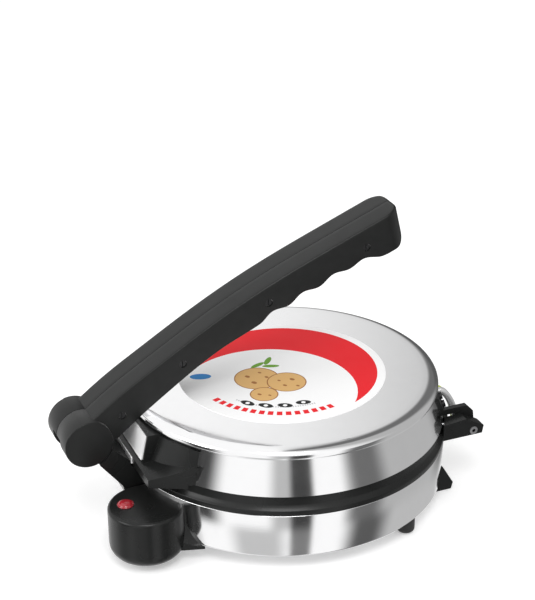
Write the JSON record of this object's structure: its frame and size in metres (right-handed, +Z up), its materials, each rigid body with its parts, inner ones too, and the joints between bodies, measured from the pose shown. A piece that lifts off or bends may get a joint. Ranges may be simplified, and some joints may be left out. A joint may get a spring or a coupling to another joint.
{
  "type": "electric roti maker",
  "caption": "Round hinged electric flatbread press with a steel lid and base, heated plates, a long arched lever handle, front lamp housing and rear hinge with flexible conduit.",
  "frame": {"origin": "on the drum's axis, in the plane of the feet's undersides", "axes": "+Z up; -Y towards the front, where the handle's hub is; +Y towards the rear hinge; +X towards the lamp housing"},
  "size_m": [0.2296, 0.2929, 0.2043],
  "materials": {
    "polished_steel": "polished sheet steel",
    "hardware_steel": "zinc-plated hardware",
    "black_plastic": "semi-gloss moulded phenolic",
    "plate_coating": "non-stick coated cast aluminium",
    "floor_sheet": "pressed sheet",
    "element_sheath": "heat-tinted element tube",
    "mica": "matt insulating board",
    "rubber": "matt",
    "lens_red": "clear red lens",
    "label_print": "printed foil",
    "plate_face": "bare satin plate",
    "wire_sleeve": "woven sleeve",
    "earth_sleeve": "yellow-green sleeve",
    "conduit_sleeve": "silver sleeve",
    "pale_plastic": "heat-resistant moulding"
  },
  "bodies": {
    "base": {"base_shell": "polished_steel", "base_ring": "black_plastic", "bottom_cover": "floor_sheet", "lower_plate": "plate_coating", "lower_element": "element_sheath", "lower_insulator": "mica", "lower_clamp_plate": "floor_sheet", "thermostat": "pale_plastic", "thermal_fuse": "pale_plastic", "base_leads": "wire_sleeve", "base_stud": "hardware_steel", "base_screws": "hardware_steel", "rubber_feet": "rubber", "rear_stands": "black_plastic", "front_housing": "black_plastic", "housing_cover": "black_plastic", "terminal_block": "pale_plastic", "indicator_lens": "lens_red", "indicator_lamp": "pale_plastic", "cord_gland": "rubber", "front_post": "black_plastic", "post_screws": "hardware_steel", "hinge_base_left": "black_plastic", "hinge_base_right": "black_plastic", "hinge_base_screws": "hardware_steel", "hinge_pins": "hardware_steel", "base_bushing": "rubber", "conduit": "conduit_sleeve", "earth_wire": "earth_sleeve"},
    "lid": {"lid_shell": "polished_steel", "lid_label": "label_print", "lid_ring": "floor_sheet", "upper_plate": "plate_coating", "upper_element": "element_sheath", "upper_insulator": "mica", "upper_clamp_plate": "floor_sheet", "upper_stud": "hardware_steel", "lid_bushing": "rubber", "hinge_lid_left": "black_plastic", "hinge_lid_right": "black_plastic", "hinge_lid_screws": "hardware_steel", "lid_bracket": "black_plastic", "bracket_screws": "hardware_steel", "name_plate": "plate_face", "wear_strip": "hardware_steel", "pivot_pin": "hardware_steel"},
    "handle": {"handle_right_half": "black_plastic", "handle_left_half": "black_plastic", "handle_bar": "hardware_steel", "handle_screws": "hardware_steel"}
  },
  "joints": [
    {"name": "lid_hinge", "type": "hinge", "parent": "base", "child": "lid", "pos_m": [0, 0.1204, 0.0471], "axis": [-1, 0, 0], "range_deg": [0, 95], "deforming": ["conduit", "earth_wire"]},
    {"name": "handle_pivot", "type": "hinge", "parent": "lid", "child": "handle", "pos_m": [0, -0.1475, 0.075], "axis": [1, 0, 0], "range_deg": [0, 100]}
  ]
}
